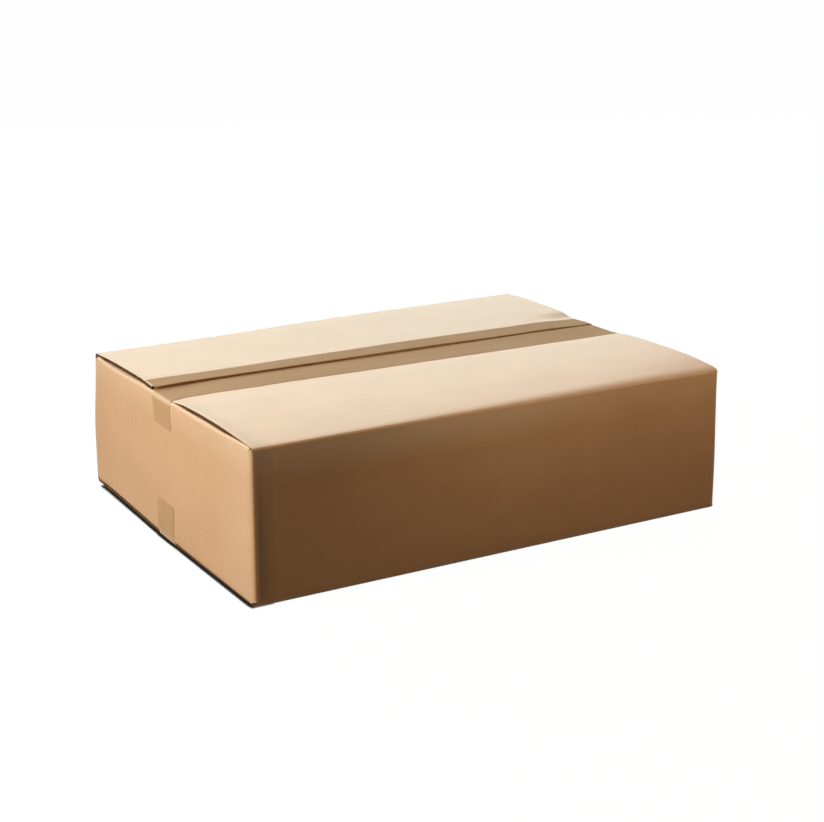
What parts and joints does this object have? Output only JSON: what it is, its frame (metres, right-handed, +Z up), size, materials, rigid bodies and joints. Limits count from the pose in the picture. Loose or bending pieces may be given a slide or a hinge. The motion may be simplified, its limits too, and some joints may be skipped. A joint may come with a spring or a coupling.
{
  "type": "closed cardboard box",
  "caption": "Low rectangular carton of brown corrugated board, its flaps closed and held by packing tape along the top and bottom seams.",
  "frame": {"origin": "middle of the footprint, on the surface that the box stands on", "axes": "+X along the long side, +Y towards the far long side, on whose side of the middle the seam lies, +Z up"},
  "size_m": [0.3354, 0.25, 0.0984],
  "materials": {
    "kraft_board": "matte brown kraft liner on corrugated board",
    "paper_tape": "matte brown packing tape"
  },
  "bodies": {
    "root": {"carton": "kraft_board", "top_tape": "paper_tape", "bottom_tape": "paper_tape"}
  },
  "joints": []
}
